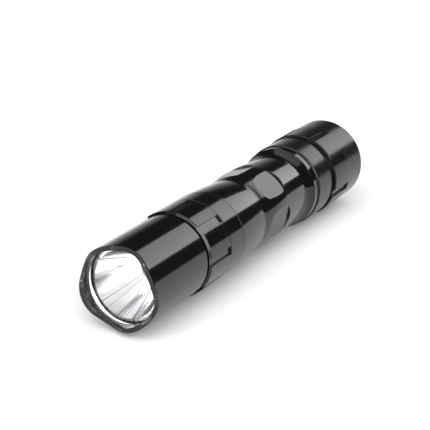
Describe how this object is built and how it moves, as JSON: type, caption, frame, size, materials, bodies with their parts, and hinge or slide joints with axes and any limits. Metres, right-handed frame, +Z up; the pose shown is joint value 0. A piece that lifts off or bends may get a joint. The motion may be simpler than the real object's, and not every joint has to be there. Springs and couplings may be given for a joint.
{
  "type": "tactical flashlight",
  "caption": "Pocket tactical flashlight: crowned smooth head over a polished reflector, slotted grip collar, waisted body with milled flats, slotted screw tail cap with a rubber push switch.",
  "frame": {"origin": "centre of the tail end face, on the light axis", "axes": "+X along the light axis towards the beam, +Z up with the light lying on its side"},
  "size_m": [0.0999, 0.0207, 0.0206],
  "materials": {
    "black_anodised": "gloss black anodised aluminium",
    "chrome": "vacuum-metallised mirror",
    "clear_lens": "clear polished",
    "seal_rubber": "matt",
    "white_plastic": "moulded",
    "led_phosphor": "silicone dome over yellow phosphor",
    "led_ceramic": "alumina",
    "board_white": "white solder mask on aluminium",
    "board_green": "green solder mask",
    "brass": "machined",
    "ferrite": "moulded ferrite",
    "chip_epoxy": "moulded epoxy",
    "capacitor_ceramic": "sintered",
    "lead_red": "silicone insulation",
    "lead_black": "silicone insulation",
    "spring_steel": "nickel-plated wire",
    "cell_steel": "nickel-plated steel",
    "cell_wrap": "shrink sleeve",
    "black_plastic": "moulded",
    "button_rubber": "moulded silicone, matt",
    "plated_aluminium": "turned"
  },
  "bodies": {
    "body": {"body_tube": "black_anodised", "front_oring": "seal_rubber", "rear_oring": "seal_rubber", "cell_can": "cell_steel", "cell_wrap": "cell_wrap", "cell_gasket": "black_plastic", "cell_cap": "cell_steel"},
    "head_carrier": {"contact_post": "brass"},
    "head": {"head_barrel": "black_anodised", "lens": "clear_lens", "lens_seal": "seal_rubber", "reflector": "chrome", "centring_ring": "white_plastic", "led_package": "led_ceramic", "led_dome": "led_phosphor", "led_board": "board_white", "driver_pill": "brass", "driver_board": "board_green", "driver_inductor": "ferrite", "driver_chip": "chip_epoxy", "driver_capacitor": "capacitor_ceramic", "led_lead_positive": "lead_red", "led_lead_negative": "lead_black", "grip_collar": "black_anodised"},
    "tail_carrier": {"negative_spring": "spring_steel"},
    "tail": {"tail_cap": "black_anodised", "switch_board": "board_green", "switch_housing": "black_plastic", "retaining_ring": "plated_aluminium", "boot_washer": "white_plastic", "switch_boot": "button_rubber", "return_spring": "spring_steel"},
    "button": {"switch_plunger": "white_plastic", "moving_contact": "brass"}
  },
  "joints": [
    {"name": "head_unscrew_travel", "type": "slide", "parent": "body", "child": "head_carrier", "axis": [1, 0, 0], "range_m": [0, 0.005]},
    {"name": "head_unscrew", "type": "hinge", "parent": "head_carrier", "child": "head", "pos_m": [0.0632, 0, 0], "axis": [1, 0, 0], "range_deg": [0, 1800]},
    {"name": "tail_cap_travel", "type": "slide", "parent": "body", "child": "tail_carrier", "axis": [-1, 0, 0], "range_m": [0, 0.005]},
    {"name": "tail_cap_unscrew", "type": "hinge", "parent": "tail_carrier", "child": "tail", "pos_m": [0.0255, 0, 0], "axis": [-1, 0, 0], "range_deg": [0, 1800]},
    {"name": "button_press", "type": "slide", "parent": "tail", "child": "button", "axis": [1, 0, 0], "range_m": [0, 0.0015], "stiffness_N_per_m": 900, "deforming": ["return_spring", "switch_boot"]}
  ],
  "couplings": [
    {"joint": "head_unscrew_travel", "follows": "head_unscrew", "m_per_rad": 0.00015915},
    {"joint": "tail_cap_travel", "follows": "tail_cap_unscrew", "m_per_rad": 0.00015915}
  ]
}
